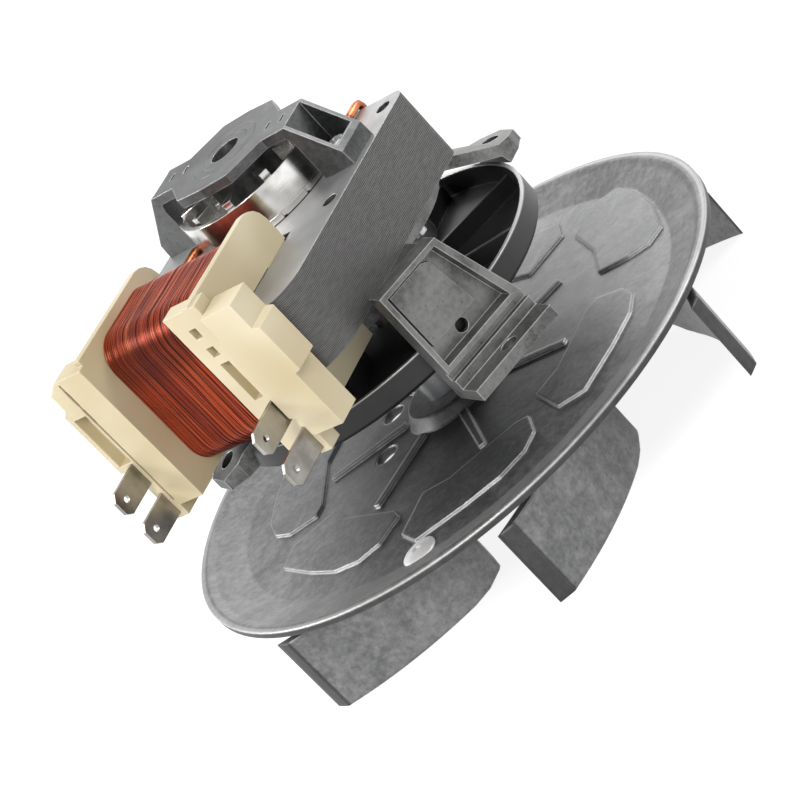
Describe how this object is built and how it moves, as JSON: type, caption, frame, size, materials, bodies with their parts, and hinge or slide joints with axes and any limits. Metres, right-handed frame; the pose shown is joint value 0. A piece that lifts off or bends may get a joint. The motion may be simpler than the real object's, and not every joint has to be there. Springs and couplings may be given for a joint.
{
  "type": "oven fan motor",
  "caption": "Shaded pole oven fan motor with a wound coil on a moulded bobbin, cast brackets, a cooling fan dish and a wide die-cast impeller on one shaft.",
  "frame": {"origin": "on the shaft axis, in the plane of the soles of the front bracket's feet", "axes": "+Z along the shaft from the impeller up to the motor, +X along the coil, +Y from the coil to the rotor"},
  "size_m": [0.15, 0.15, 0.1012],
  "materials": {
    "cast_aluminium": "as die-cast, grainy",
    "cast_bracket": "as die-cast, tumbled",
    "lamination_steel": "punched sheet edges",
    "ground_steel": "ground",
    "plated_steel": "zinc plated",
    "pressed_steel": "pressed sheet",
    "bobbin_plastic": "moulded, satin",
    "enamelled_copper": "wound enamelled wire",
    "bare_copper": "drawn copper wire",
    "tinned_brass": "tin plated",
    "sintered_bronze": "sintered, oiled"
  },
  "bodies": {
    "stator": {"stator_stack": "lamination_steel", "coil_core": "lamination_steel", "bobbin": "bobbin_plastic", "coil_winding": "enamelled_copper", "terminal_near_upper": "tinned_brass", "terminal_near_lower": "tinned_brass", "terminal_far_upper": "tinned_brass", "terminal_far_lower": "tinned_brass", "shading_ring_right": "bare_copper", "shading_ring_left": "bare_copper", "rear_bracket": "cast_bracket", "rear_bearing": "sintered_bronze", "front_bearing": "sintered_bronze", "rear_retainer": "plated_steel", "front_retainer": "plated_steel", "screw_right": "plated_steel", "screw_left": "plated_steel", "front_bracket": "cast_bracket"},
    "rotor": {"shaft": "ground_steel", "rotor_core": "lamination_steel", "rotor_cage": "cast_aluminium", "cooling_fan": "pressed_steel", "impeller": "cast_aluminium", "rear_thrust_washer": "plated_steel", "front_thrust_washer": "plated_steel", "fan_spacer": "plated_steel", "impeller_washer": "plated_steel", "impeller_nut": "plated_steel"}
  },
  "joints": [
    {"name": "rotor_spin", "type": "hinge", "parent": "stator", "child": "rotor", "pos_m": [0, 0, 0.03], "axis": [0, 0, 1], "continuous": true}
  ]
}
